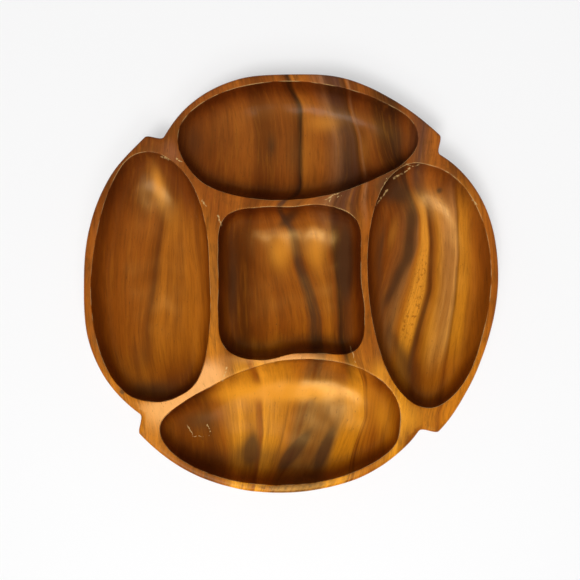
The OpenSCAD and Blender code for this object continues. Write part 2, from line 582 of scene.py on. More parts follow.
    def carve(self, mesh: bpy.types.Mesh, height: float, material: bpy.types.Material) -> bpy.types.Mesh:
        """Carves a prepared surface.

        Args:
            mesh: the surface with its region, turn and middle.
            height: height of the tray.
            material: the finish to set.

        Returns:
            The carved surface as a plain mesh.
        """
        blank = bpy.data.objects.new("carving_blank", mesh)
        bpy.context.scene.collection.objects.link(blank)
        modifier = blank.modifiers.new("hand_carving", "NODES")
        modifier.node_group = self.tree(material)
        sizes = self._sizes(height)
        for item in modifier.node_group.interface.items_tree:
            if item.in_out == "INPUT" and item.name in sizes:
                modifier[item.identifier] = sizes[item.name]
        bpy.context.view_layer.update()
        graph = bpy.context.evaluated_depsgraph_get()
        carved = bpy.data.meshes.new_from_object(blank.evaluated_get(graph))
        bpy.data.objects.remove(blank)
        return carved


@dataclass(frozen=True)
class GrowthLines:
    """Where the layers of the wood come to the surface.

    Each line is a list of (y, x) places in millimetres, from the top edge of the tray down. All
    the finer figure runs between these lines, so it bows over the hollows as they do.
    """

    lines: tuple[tuple[tuple[float, float], ...], ...] = (
        ((150, -168), (0, -168), (-150, -168)),
        ((97, -132), (61, -139), (0, -142), (-49, -137), (-92, -125)),
        (
            (112, -87), (76, -92), (54, -96), (24, -101), (-5, -104), (-36, -109), (-56, -107),
            (-85, -99), (-107, -92),
        ),
        ((127, -74), (76, -78), (32, -76), (3, -71), (-35, -69), (-63, -66), (-100, -58), (-129, -52)),
        (
            (149, -33), (112, -25), (71, -25), (59, -28), (35, -32), (-24, -31), (-53, -30), (-76, -23),
            (-116, -22), (-150, -27),
        ),
        (
            (150, -2), (135, 9), (72, 9), (64, 5), (59, -10), (53, -6), (40, 4), (15, 9), (-8, 18), (-27, 23),
            (-45, 23), (-53, 25), (-76, 19), (-103, 11), (-126, 4), (-138, -1), (-150, -12),
        ),
        (
            (150, 29), (112, 44), (81, 45), (59, 36), (43, 37), (0, 40), (-41, 40), (-53, 43), (-74, 53),
            (-100, 55), (-126, 45), (-150, 37),
        ),
        (
            (134, 65), (97, 74), (76, 82), (50, 93), (28, 91), (10, 83), (-10, 75), (-34, 69), (-63, 68),
            (-100, 65), (-129, 59),
        ),
        (
            (119, 97), (87, 93), (72, 95), (57, 104), (32, 107), (-4, 106), (-30, 99), (-54, 93),
            (-74, 91), (-107, 85),
        ),
        ((97, 125), (75, 122), (54, 126), (21, 128), (-14, 125), (-45, 120), (-75, 114), (-96, 107)),
        ((61, 139), (0, 143), (-49, 138)),
        ((150, 168), (0, 168), (-150, 168)),
    )
    marks: tuple[float, ...] = (-168, -142, -104, -71, -31, 16, 40, 78, 106, 126, 143, 168)
    tilt: float = 0.45
    softness: float = 3.0
    blur_reach: float = 12.0
    half_run: float = 170.0
    step: float = 1.0
    narrowest: float = 1e-3

    def at(self, places: np.ndarray, depth: np.ndarray) -> np.ndarray:
        """Growth coordinate of points of the wood.

        Args:
            places: positions in metres, one row each.
            depth: how far each lies below the lands on the outside of the tray, in metres.

        Returns:
            The growth coordinate in millimetres: the line's mark on each line, even between them.
        """
        x = (places[:, 0] + self.tilt * depth) / MM
        courses = self._courses(places[:, 1] / MM)
        growth = np.where(x < courses[0], x, 0.0)
        for left, right, left_mark, right_mark in zip(courses, courses[1:], self.marks, self.marks[1:]):
            share = (x - left) / np.maximum(right - left, self.narrowest)
            between = (share >= 0) & (share < 1)
            growth = np.where(between, left_mark + share * (right_mark - left_mark), growth)
        return np.where(x >= courses[-1], x, growth)

    def _courses(self, y: np.ndarray) -> list[np.ndarray]:
        """Where each line runs at the given places along the grain, with its bends softened.

        Args:
            y: places along the grain in millimetres.

        Returns:
            For each line, the x in millimetres at each place.
        """
        steps = np.arange(-self.half_run, self.half_run, self.step)
        reach = np.arange(-self.blur_reach, self.blur_reach + self.step / 2)
        weights = np.exp(-(reach / self.softness) ** 2 / 2)
        weights /= weights.sum()
        courses = []
        for line in self.lines:
            up = np.array(line[::-1], float)
            padded = np.pad(np.interp(steps, up[:, 0], up[:, 1]), len(reach) // 2, mode="edge")
            courses.append(np.interp(y, steps, np.convolve(padded, weights, mode="valid")[:len(steps)]))
        return courses


@dataclass(frozen=True)
class FigureAndLightSpot:
    """A soft darker or lighter patch, seen from above: mostly wood figure, and on some spots a painted
    highlight or painted shade. Sizes are in millimetres.
    """

    x: float
    y: float
    half_width: float
    half_length: float
    strength: float
    lean: float = 0.0


@dataclass(frozen=True)
class FigureAndPaintedLight:
    """The broad patches of the figure, with painted highlights and painted shade among them, as one value at
    each point of the wood.
    """

    # Painted highlights: the pale spots at (-8, 24) and (19, 24) in the centre hollow, (-100, 74) in the left
    # hollow, (25, 122) in the top hollow, (99, 58) in the right hollow and (-6, -82) along the upper wall of
    # the bottom hollow. Painted shade: the dark bands at (-22, -131) along the lower wall of the bottom
    # hollow and (-100, -80) at the lower end of the left hollow. The other spots are wood figure.
    spots: tuple[FigureAndLightSpot, ...] = tuple(FigureAndLightSpot(*row) for row in (
        (-14, 107, 5, 11, 0.40), (2, 100, 6, 34, 0.45), (43, 92, 5, 20, 0.55), (56, 100, 5, 16, -0.30),
        (80, 108, 6, 12, 0.70), (-3, 48, 6, 8, 1.0, 0.8), (10, 6, 5, 12, 0.45, -0.25),
        (-8, 24, 10, 16, -0.8), (19, 24, 9, 15, -0.7), (41, 16, 6, 30, 1.5), (-44, 0, 5, 34, 0.7),
        (-90, 48, 9, 16, -0.35), (40, -40, 6, 16, 0.4), (4, -125, 4.5, 13, 1.8, 0.76),
        (12, -98, 2.6, 11, 0.5, 0.39), (-29, -121, 4, 10, 0.6, 0.1), (26, -124, 4, 17, 1.4, 0.43),
        (-22, -131, 56, 10, 0.55), (-70, -104, 16, 9, 0.6), (-73, 106, 9, 16, 0.55),
        (-50, 106, 14, 16, 0.22), (98, 20, 5, 30, -0.4), (79, -44, 5.5, 17, 0.45, -0.45),
        (76, -24, 2.2, 18, 0.5, 0.25), (94, -44, 2.0, 22, 0.45, 0.2), (70, 34, 2.2, 14, 0.5, 0.15),
        (-32, -125, 8, 12, 0.5), (52, -100, 4, 16, -0.6), (68, -98, 8, 14, -0.6), (34, -98, 9, 12, -0.1),
        (72, 72, 11, 10, 1.1), (66, 20, 5, 34, 0.6), (84, 67, 6, 7, 0.75), (92, 50, 5.5, 13, 1.0),
        (90, 28, 5, 13, 1.0), (83, 10, 4.5, 12, 0.9, 0.4), (75, -9, 4, 12, 0.8, 0.4),
        (77, 38, 6, 17, -0.4, 0.3), (92, -70, 8, 13, 0.25), (-15, 104, 2.5, 7, 0.4), (25, 122, 15, 8, -0.6),
        (-6, -82, 54, 8, -1.3), (108, -36, 5, 14, -0.4), (76, -22, 6, 14, -0.35, 0.4),
        (83, -62, 9, 18, 0.5, 0.1), (99, 58, 5, 11, -0.5), (111.5, 70, 2.2, 2.0, 1.2),
        (-102, 10, 4, 34, 0.30, 0.1), (-100, -80, 26, 8, 0.8), (-114, -56, 11, 16, 0.45),
        (-100, 74, 5, 16, -0.8, -0.14),
    ))
    # On the lands: the pale patch at (-84, -86) on the lower-left land is painted sheen, and the pale patches
    # at (-60, -66), (-5, -54.5), (86, -98) and (66, -66) lighten the lands on the near side, partly as
    # painted light. The others are wood figure.
    land_figure_and_sheen: tuple[FigureAndLightSpot, ...] = tuple(FigureAndLightSpot(*row) for row in (
        (-84, -86, 27, 19, -1.7), (-60, -66, 13, 9, -1.1), (-5, -54.5, 34, 4.5, -0.9),
        (86, -98, 12, 15, -0.6), (66, -66, 9, 12, -0.6), (0, -150, 70, 5, 0.75), (-57, 0, 5, 34, 0.5),
        (-5, 61, 34, 4.5, 0.35), (-142, -10, 6, 60, -0.2), (-124, -79, 2.2, 1.6, 1.6),
        (-84, 96, 12, 12, -0.3),
    ))

    def at(self, places: np.ndarray, on_land: np.ndarray) -> np.ndarray:
        """The sum of the patches at each point.

        Args:
            places: positions in metres, one row each.
            on_land: 1 for the points of the lands and 0 for the others.

        Returns:
            Above 0 where the colour is darker and below 0 where it is lighter, for figure, painted shade and
            painted highlights alike.
        """
        total = np.zeros(len(places))
        for spot in (*self.spots, *self.land_figure_and_sheen):
            along = places[:, 1] / MM - spot.y
            across = places[:, 0] / MM - spot.x - spot.lean * along
            share = on_land if spot in self.land_figure_and_sheen else 1.0
            faded = np.exp(-(across / spot.half_width) ** 2 - (along / spot.half_length) ** 2)
            total += share * spot.strength * faded
        return total


@dataclass(frozen=True)
class StreakLayer:
    """One layer of streaks: its noise, the part of the noise that shows, and its tone."""

    grain: Grain
    shows: Ease
    tone: WoodTone


@dataclass(frozen=True)
class Scuff:
    """A thin scratch or chipped edge. Places and half width are in millimetres."""

    start: tuple[float, float]
    end: tuple[float, float]
    half_width: float


class WoodBench(NodeBench):
    """The bench of a wood material, with the sockets that say where in the wood a point lies."""

    run: float = 0.06
    sink: float = 0.15

    def __init__(self, tree: bpy.types.NodeTree, seed: float) -> None:
        """Reads the attributes and the place, and works out how the grain flows there.

        Args:
            tree: the node tree of the material.
            seed: where in the noise of the grain this wood is taken from.
        """
        super().__init__(tree)
        # The figure attribute holds the wood's patches together with painted highlights and painted shade.
        names = ("growth", "figure", "sunk", "steepness", "face_up")
        self.growth, self.figure, self.sunk, self.steep, self.face_up = map(self.read, names)
        self.off_middle = self.math("ABSOLUTE", self.growth)
        self.point = self.put("ShaderNodeTexCoord").outputs["Object"]
        self.parts = self.put("ShaderNodeSeparateXYZ", {0: self.point}).outputs
        self.along = self.times(self.parts[1], 1 / MM)
        self.deep = self.times(self.parts[2], 1 / MM)
        down = self.math("ADD", self.times(self.deep, self.sink), seed)
        self.flow = self.joined(self.growth, self.times(self.along, self.run), down)


@dataclass(frozen=True)
class LacqueredWood:
    """The finish of one kind of stave: streaky tropical hardwood under a soft gloss lacquer."""

    name: str
    tone: float = 1.0
    seed: float = 0.0

    # The marks are in millimetres of the growth coordinate, from the left edge to the right one.
    far_bands: tuple[tuple[float, WoodTone], ...] = (
        (-165, WoodTone.RUSSET), (-104, WoodTone.RUSSET), (-86, WoodTone.RUSSET), (-72, WoodTone.CHESTNUT),
        (-52, WoodTone.CHESTNUT), (-39, WoodTone.COPPER), (-33, WoodTone.CHESTNUT), (-31, WoodTone.RUSSET),
        (-18, WoodTone.RUSSET), (-8, WoodTone.CHESTNUT), (3, WoodTone.COPPER), (9.5, WoodTone.RUSSET),
        (13.4, WoodTone.HEART), (15.4, WoodTone.HEART), (16.2, WoodTone.AMBER), (26, WoodTone.COPPER),
        (34, WoodTone.ASH), (38, WoodTone.SMOKE), (44, WoodTone.SMOKE), (49, WoodTone.UMBER),
        (50.6, WoodTone.CHESTNUT), (52, WoodTone.ASH), (54, WoodTone.RUSSET), (64, WoodTone.CHESTNUT),
        (74, WoodTone.UMBER), (86, WoodTone.HEART), (94, WoodTone.CHESTNUT), (106, WoodTone.SMOKE),
        (112, WoodTone.COPPER), (124, WoodTone.RUSSET), (165, WoodTone.CHESTNUT),
    )
    middle_bands: tuple[tuple[float, WoodTone], ...] = (
        (-165, WoodTone.CHESTNUT), (-111, WoodTone.COPPER), (-104, WoodTone.RUSSET),
        (-98, WoodTone.AMBER), (-80, WoodTone.AMBER), (-70, WoodTone.AMBER), (-56, WoodTone.AMBER),
        (-46, WoodTone.RUSSET), (-33, WoodTone.UMBER), (-29, WoodTone.RUSSET), (-18, WoodTone.COPPER),
        (-11, WoodTone.CHESTNUT), (-2, WoodTone.COPPER), (6, WoodTone.COPPER), (10, WoodTone.SMOKE),
        (16, WoodTone.SMOKE), (18, WoodTone.COPPER), (27, WoodTone.AMBER), (33, WoodTone.CHESTNUT),
        (37, WoodTone.HEART), (42, WoodTone.RUSSET), (55, WoodTone.COPPER), (66, WoodTone.CHESTNUT),
        (84, WoodTone.ASH), (90, WoodTone.AMBER), (94.5, WoodTone.BRASS), (101.5, WoodTone.BRASS),
        (104.6, WoodTone.RUSSET), (106.2, WoodTone.UMBER), (108, WoodTone.AMBER), (111, WoodTone.GOLD),
        (117, WoodTone.HONEY),
    )
    near_bands: tuple[tuple[float, WoodTone], ...] = (
        (-165, WoodTone.COPPER), (-110, WoodTone.AMBER), (-95, WoodTone.CHESTNUT), (-76, WoodTone.RUSSET),
        (-66, WoodTone.COPPER), (-52, WoodTone.BRASS), (-38, WoodTone.GOLD), (-33, WoodTone.COPPER),
        (-31, WoodTone.COPPER), (-28, WoodTone.BRASS), (-14, WoodTone.GOLD), (2, WoodTone.AMBER),
        (9, WoodTone.ASH), (13, WoodTone.RUSSET), (16, WoodTone.ASH), (22, WoodTone.ASH),
        (31, WoodTone.ASH), (34, WoodTone.GOLD), (43, WoodTone.GOLD), (44.5, WoodTone.RUSSET),
        (46, WoodTone.AMBER), (50, WoodTone.RUSSET), (53, WoodTone.AMBER), (78, WoodTone.COPPER),
        (96, WoodTone.GOLD), (106, WoodTone.RUSSET), (122, WoodTone.AMBER), (126, WoodTone.CHESTNUT),
        (128, WoodTone.AMBER), (165, WoodTone.AMBER),
    )
    edge_bands: tuple[tuple[float, WoodTone], ...] = (
        (116, WoodTone.HONEY), (124, WoodTone.HONEY), (125.6, WoodTone.UMBER), (126.6, WoodTone.GOLD),
        (133, WoodTone.GOLD), (138, WoodTone.AMBER), (146, WoodTone.COPPER), (165, WoodTone.CHESTNUT),
    )

    # How far the bands reach and waver, and where along the tray one section's give way to the next's.
    span: float = 168.0
    wander: float = 3.2
    wander_grain: Grain = Grain(0.09, 2.0)
    edge_from: Ease = Ease(117.0, 118.5)
    section_blur: float = 60.0
    blur_grain: Grain = Grain(0.05, 1.0)
    far_from: Ease = Ease(38.0, 72.0)
    near_from: Ease = Ease(-42.0, -74.0)

    # Specks in the ringed wood of the right hollow, and the streaks, from threads to broad ones.
    speck_run: float = 0.8
    speck_grain: Grain = Grain(0.42, 3.0, 0.65)
    speck_shows: Ease = Ease(0.50, 0.68, 0.0, 0.65)
    speck_spans: tuple[Ease, Ease] = (Ease(88.0, 93.0), Ease(104.0, 101.0))
    speck_ends: tuple[Ease, Ease] = (Ease(-55.0, -30.0), Ease(34.0, 14.0))
    threads: tuple[StreakLayer, ...] = (
        StreakLayer(Grain(0.5, 3.0, 0.6), Ease(0.52, 0.68, 0.0, 0.17), WoodTone.UMBER),
        StreakLayer(Grain(0.5, 3.0, 0.6), Ease(0.47, 0.32, 0.0, 0.13), WoodTone.GOLD),
    )
    fine_grain: Grain = Grain(1.1, 5.0, 0.62)
    fine_shows: Ease = Ease(0.42, 0.75)
    fine_by_depth: Ease = Ease(0.0, 1.0, 0.55, 0.30)
    streaks: tuple[StreakLayer, ...] = (
        StreakLayer(Grain(0.28, 3.0, 0.55), Ease(0.50, 0.78, 0.0, 0.42), WoodTone.UMBER),
        StreakLayer(Grain(0.28, 3.0, 0.55), Ease(0.46, 0.22, 0.0, 0.30), WoodTone.AMBER),
        StreakLayer(Grain(0.11, 2.0, 0.5), Ease(0.50, 0.68, 0.0, 0.38), WoodTone.RUSSET),
    )

    # Pale and dark patches, which include painted highlights and painted shade, and the tint from the far
    # side to the near side: partly the wood's own turn from red to golden, partly painted light that
    # brightens the near side.
    golden_from: Ease = Ease(-10.0, 60.0)
    pale_shows: Ease = Ease(0.0, -1.2, 0.0, 0.95)
    stain_and_shade_shows: Ease = Ease(0.0, 1.0, 0.0, 0.85)
    far_tint: tuple[float, float, float, float] = (1.10, 0.80, 0.80, 1.0)
    near_tint: tuple[float, float, float, float] = (1.20, 0.88, 0.34, 1.0)
    near_side: Ease = Ease(150.0, -150.0)

    # The lands' own tint and grit, and painted shade: a brown tint that darkens the steep walls of the
    # hollows, left off on the outer walls and the lit walls, and a darkening of the hollows as a whole.
    land_tint: tuple[float, float, float, float] = (1.04, 1.10, 1.25, 1.0)
    land_from: Ease = Ease(0.5, 0.0)
    grit_run: float = 0.3
    grit_cut: float = 4.0
    grit_grain: Grain = Grain(0.22, 4.0, 0.7)
    grit_shows: Ease = Ease(0.48, 0.70, 0.0, 0.5)
    grit_from: Ease = Ease(0.3, 0.0)
    grit_by_figure: Ease = Ease(-1.0, 0.0, 0.25, 1.0)
    wall_shade_tint: tuple[float, float, float, float] = (0.46, 0.30, 0.18, 1.0)
    wall_shade_from: Ease = Ease(0.02, 0.75)
    outer_walls: tuple[Ease, Ease] = (Ease(50.0, 94.0, 0.0, 0.66), Ease(-66.0, -30.0))
    lit_walls: tuple[Ease, Ease, Ease] = (Ease(75.0, 55.0, 0.0, 0.9), Ease(-98.0, -84.0), Ease(-54.0, -60.0))
    bowl_shade_tone: float = 0.76

    # Pores, scratches, and the pale mouth edges, which are partly worn lacquer and partly painted edge
    # highlight.
    pore_run: float = 0.16
    pore_grain: Grain = Grain(1.9, 2.0, 0.5)
    pore_shows: Ease = Ease(0.66, 0.74)
    pore_share: float = 0.55
    scuff_share: float = 0.75
    scuff_fade: tuple[float, float] = (1.6, 0.4)
    scuff_shake: float = 3 * MM
    shake_grain: Grain = Grain(0.3 / MM, 2.0)
    scuff_breaks: Grain = Grain(0.6 / MM, 1.0)
    scuff_whole: Ease = Ease(0.36, 0.5)
    rub_grain: Grain = Grain(0.09 / MM, 3.0)
    rub_shows: Ease = Ease(0.40, 0.58, 0.0, 0.7)
    rub_spans: tuple[Ease, Ease] = (Ease(0.06, 0.35), Ease(0.34, 0.20))

    # The lacquer: how rough, how wavy and how bright it is.
    roughness: float = 0.31
    rough_grain: float = 0.18
    dull_rise: float = 0.24
    dull_far: Ease = Ease(62.0, 96.0)
    dull_near: tuple[Ease, Ease] = (Ease(-62.0, -84.0), Ease(14.0, -12.0))
    relief: tuple[float, float] = (0.35, 0.6)
    bump: float = 0.22
    bump_height: float = 0.4 * MM
    ior: float = 1.48
    sheen: float = 0.34
    sheen_tint: tuple[float, float, float, float] = (1.0, 0.58, 0.12, 1.0)
    coat: float = 0.04
    coat_roughness: float = 0.2

    scuffs: tuple[Scuff, ...] = tuple(Scuff(*row) for row in (
        ((63, 58), (72, 70), 0.5), ((76, 78), (88, 85), 0.5), ((24.8, 61.5), (35.8, 66.5), 0.4),
        ((66, 68), (70, 77), 0.35), ((84, 87), (94, 87), 0.35), ((28, 60), (30, 65), 0.3),
        ((32, 62), (37, 64), 0.3), ((-78, -107), (-73.7, -115), 0.3), ((-73.7, -115), (-66, -116), 0.3),
        ((-63.5, -107), (-60.6, -112), 0.3), ((-60.6, -112), (-62, -116), 0.25),
        ((-50.4, -71.9), (-46.7, -61), 0.5), ((-53.3, 50), (-51.1, 42.7), 0.5),
        ((-65, 61), (-62, 56.6), 0.5), ((-95.6, 93.8), (-89.8, 91.6), 0.45),
        ((-84, 91.6), (-79.6, 88.7), 0.45), ((133, 62), (136, 57), 0.4), ((44, -46), (47, -58), 0.3),
    ))

    def material(self) -> bpy.types.Material:
        """Builds the material.

        Returns:
            A procedural material that reads the wood's growth and figure attributes; the figure attribute
            also carries painted highlights and painted shade.
        """
        material = bpy.data.materials.new(self.name)
        material.use_nodes = True
        bench = WoodBench(material.node_tree, self.seed)
        fine = bench.noise(bench.flow, self.fine_grain)
        pores = self._pores(bench)
        colour = self._streaked(bench, self._banded(bench), fine)
        colour = self._patched(bench, colour)
        colour = self._shaded(bench, colour)
        colour = self._worn(bench, colour, pores)
        deep, pitted = self.relief
        height = bench.math("SUBTRACT", bench.times(fine, deep), bench.times(pores, pitted))
        bump = bench.put(
            "ShaderNodeBump", {"Strength": self.bump, "Distance": self.bump_height, "Height": height}
        )
        shader = bench.put(
            "ShaderNodeBsdfPrincipled",
            {
                "Base Color": colour, "Roughness": self._rough(bench, fine), "IOR": self.ior,
                "Specular IOR Level": self.sheen, "Specular Tint": self.sheen_tint, "Coat Weight": self.coat,
                "Coat Roughness": self.coat_roughness, "Normal": bump.outputs[0],
            },
        )
        bench.put("ShaderNodeOutputMaterial", {"Surface": shader.outputs[0]})
        return material

    def _banded(self, bench: WoodBench) -> Socket:
        """The broad bands of heartwood and sapwood, which change from the far side to the near side.

        Args:
            bench: the bench of the material.

        Returns:
            The colour of the bands.
        """
        wander = bench.math("SUBTRACT", bench.noise(bench.flow, self.wander_grain), NOISE_MEAN)
        bent = bench.math("ADD", bench.growth, bench.times(wander, self.wander))
        ends = {"Value": bent, "From Min": -self.span, "From Max": self.span}
        place = bench.put("ShaderNodeMapRange", ends).outputs[0]
        far, middle, near, edge = (
            self._bands(bench, place, bands)
            for bands in (self.far_bands, self.middle_bands, self.near_bands, self.edge_bands)
        )
        drift = bench.math("SUBTRACT", bench.noise(bench.flow, self.blur_grain), NOISE_MEAN)
        blurred = bench.math("ADD", bench.along, bench.times(drift, self.section_blur))
        colour = bench.mix(bench.eased(bent, self.edge_from), middle, edge)
        colour = bench.mix(bench.eased(blurred, self.far_from), colour, far)
        return bench.mix(bench.eased(blurred, self.near_from), colour, near)

    def _bands(self, bench: WoodBench, place: Socket, bands: tuple[tuple[float, WoodTone], ...]) -> Socket:
        """The bands of one section of the tray.

        Args:
            bench: the bench of the material.
            place: the growth coordinate, from 0 to 1 across the span.
            bands: the mark and the tone of each stop, in order.

        Returns:
            The colour of the bands.
        """
        node = bench.put("ShaderNodeValToRGB", {0: place})
        ramp = node.color_ramp
        while len(ramp.elements) > 1:
            ramp.elements.remove(ramp.elements[-1])
        for i, (mark, tone) in enumerate(bands):
            at = (mark + self.span) / (2 * self.span)
            stop = ramp.elements[0] if i == 0 else ramp.elements.new(at)
            stop.position, stop.color = at, tone.rgba
        return node.outputs[0]

    def _streaked(self, bench: WoodBench, colour: Socket, fine: Socket) -> Socket:
        """Specks and streaks of every width, laid over the bands.

        Args:
            bench: the bench of the material.
            colour: the colour so far.
            fine: the noise of the finest streaks.

        Returns:
            The streaked colour.
        """
        speckled = bench.times(
            *(bench.eased(bench.growth, side) for side in self.speck_spans),
            *(bench.eased(bench.along, end) for end in self.speck_ends),
        )
        grains = bench.joined(bench.growth, bench.times(bench.along, self.speck_run))
        specks = bench.times(speckled, bench.eased(bench.noise(grains, self.speck_grain), self.speck_shows))
        colour = bench.mix(specks, colour, WoodTone.CHESTNUT.rgba)
        colour = self._layered(bench, colour, self.threads)
        share = bench.times(bench.eased(fine, self.fine_shows), bench.eased(bench.sunk, self.fine_by_depth))
        colour = bench.mix(share, colour, WoodTone.PITCH.rgba)
        return self._layered(bench, colour, self.streaks)

    @staticmethod
    def _layered(bench: WoodBench, colour: Socket, layers: tuple[StreakLayer, ...]) -> Socket:
        """Layers of streaks laid over a colour, one after another.

        Args:
            bench: the bench of the material.
            colour: the colour so far.
            layers: the layers, the lowest one first.

        Returns:
            The colour with its streaks.
        """
        for layer in layers:
            shows = bench.eased(bench.noise(bench.flow, layer.grain), layer.shows)
            colour = bench.mix(shows, colour, layer.tone.rgba)
        return colour

    def _patched(self, bench: WoodBench, colour: Socket) -> Socket:
        """Pale and dark patches of figure with painted highlights and painted shade, and the tint from red at
        the far side to golden at the near side, partly painted light.

        Args:
            bench: the bench of the material.
            colour: the colour so far.

        Returns:
            The colour with its patches.
        """
        golden = bench.math("MAXIMUM", bench.sunk, bench.eased(bench.growth, self.golden_from))
        pale = bench.mix(golden, WoodTone.BIRCH.rgba, WoodTone.BRASS.rgba)
        # Pale patches: wood figure, and in places painted highlights and painted sheen.
        colour = bench.mix(bench.eased(bench.figure, self.pale_shows), colour, pale)
        # Tint from the far side to the near side: partly the wood's colour, partly painted light that
        # brightens the near side.
        warmth_and_near_light = bench.mix(bench.eased(bench.along, self.near_side), self.far_tint, self.near_tint)
        colour = bench.mix(1.0, colour, warmth_and_near_light, "MULTIPLY")
        # Dark patches: wood figure, and in places painted shade on the lower walls.
        return bench.mix(bench.eased(bench.figure, self.stain_and_shade_shows), colour, WoodTone.STAIN_AND_SHADE.rgba)

    def _shaded(self, bench: WoodBench, colour: Socket) -> Socket:
        """The paler, grittier lands, and painted shade: a brown tint on the steep walls and a darkening of
        the whole hollows.

        Args:
            bench: the bench of the material.
            colour: the colour so far.

        Returns:
            The colour with its painted shade.
        """
        colour = bench.tinted(bench.eased(bench.sunk, self.land_from), colour, self.land_tint)
        cut = bench.joined(bench.growth, bench.times(bench.along, self.grit_run), self.grit_cut)
        grit = bench.times(
            bench.eased(bench.noise(cut, self.grit_grain), self.grit_shows),
            bench.eased(bench.sunk, self.grit_from), bench.eased(bench.figure, self.grit_by_figure),
        )
        colour = bench.mix(grit, colour, WoodTone.UMBER.rgba)
        # Painted shade on the walls: the steeper the surface, the more brown tint, except on the outer walls
        # and the lit walls.
        outer, outer_end = self.outer_walls
        lit, lit_low, lit_high = self.lit_walls
        shade_spared = bench.math(
            "MAXIMUM",
            bench.times(bench.eased(bench.off_middle, outer), bench.eased(bench.along, outer_end)),
            bench.times(
                bench.eased(bench.off_middle, lit), bench.eased(bench.along, lit_low),
                bench.eased(bench.along, lit_high),
            ),
        )
        painted_wall_shade = bench.times(bench.eased(bench.steep, self.wall_shade_from), bench.math("SUBTRACT", 1.0, shade_spared))
        colour = bench.tinted(painted_wall_shade, colour, self.wall_shade_tint)
        # Painted shade in the hollows: the colour is darkened below the level of the lands.
        painted_hollow_shade = Ease(0.0, 1.0, self.tone, self.tone * self.bowl_shade_tone)
        return bench.stretched(colour, bench.eased(bench.sunk, painted_hollow_shade))

    def _worn(self, bench: WoodBench, colour: Socket, pores: Socket) -> Socket:
        """Pores, scratches, and the pale edges of the mouths: partly lacquer worn off by hands, partly a
        painted edge highlight.

        Args:
            bench: the bench of the material.
            colour: the colour so far.
            pores: 1 on the pores.

        Returns:
            The finished colour.
        """
        colour = bench.mix(bench.times(pores, self.pore_share), colour, WoodTone.PORE.rgba)
        scuffed = bench.times(self._scuffed(bench), bench.face_up, self.scuff_share)
        colour = bench.mix(scuffed, colour, WoodTone.SCRATCHED.rgba)
        # Pale mouth edges: partly worn lacquer, partly a painted highlight along the edges.
        steep, high = self.rub_spans
        worn_and_highlit_edge = bench.times(
            bench.eased(bench.steep, steep), bench.eased(bench.sunk, high),
            bench.eased(bench.noise(bench.point, self.rub_grain), self.rub_shows), bench.face_up,
        )
        return bench.mix(worn_and_highlit_edge, colour, WoodTone.WORN_AND_HIGHLIT.rgba)

    def _rough(self, bench: WoodBench, fine: Socket) -> Socket:
        """How rough the lacquer is: duller at the far side and in the lower-left hollow.

        Args:
            bench: the bench of the material.
            fine: the noise of the finest streaks.

        Returns:
            The roughness.
        """
        near, left = self.dull_near
        low_left = bench.times(bench.eased(bench.along, near), bench.eased(bench.growth, left))
        dull = bench.math("ADD", bench.eased(bench.along, self.dull_far), low_left)
        grainy = bench.times(bench.math("SUBTRACT", fine, NOISE_MEAN), self.rough_grain)
        return bench.math("ADD", bench.math("ADD", self.roughness, grainy), bench.times(dull, self.dull_rise))

    def _scuffed(self, bench: WoodBench) -> Socket:
        """Thin pale scratches and chipped edges, where the lacquer is gone.

        Args:
            bench: the bench of the material.

        Returns:
            1 on the scratches and 0 beside them.
        """
        flat = bench.joined(bench.parts[0], bench.parts[1])
        shake = bench.noise(flat, self.shake_grain).node.outputs["Color"]
        at = bench.vector("ADD", flat, bench.stretched(shake, self.scuff_shake))
        mean = Vector((1.0, 1.0, 1.0)) * self.scuff_shake * NOISE_MEAN
        beside, on = self.scuff_fade
        worn: object = 0.0
        for scuff in self.scuffs:
            start = Vector((*scuff.start, 0.0)) * MM
            way = Vector((*scuff.end, 0.0)) * MM - start
            out = bench.vector("SUBTRACT", at, start + mean)
            run = bench.measured("DOT_PRODUCT", out, way)
            share = bench.math("MULTIPLY", run, 1 / way.length_squared, clamp=True)
            gap = bench.measured("DISTANCE", out, bench.stretched(way, share))
            half = scuff.half_width * MM
            worn = bench.math("MAXIMUM", worn, bench.eased(gap, Ease(beside * half, on * half)))
        return bench.times(worn, bench.eased(bench.noise(flat, self.scuff_breaks), self.scuff_whole))

    def _pores(self, bench: WoodBench) -> Socket:
        """Short dark dashes that lie along the grain."""
        place = bench.joined(bench.growth, bench.times(bench.along, self.pore_run), bench.deep)
        return bench.eased(bench.noise(place, self.pore_grain), self.pore_shows)


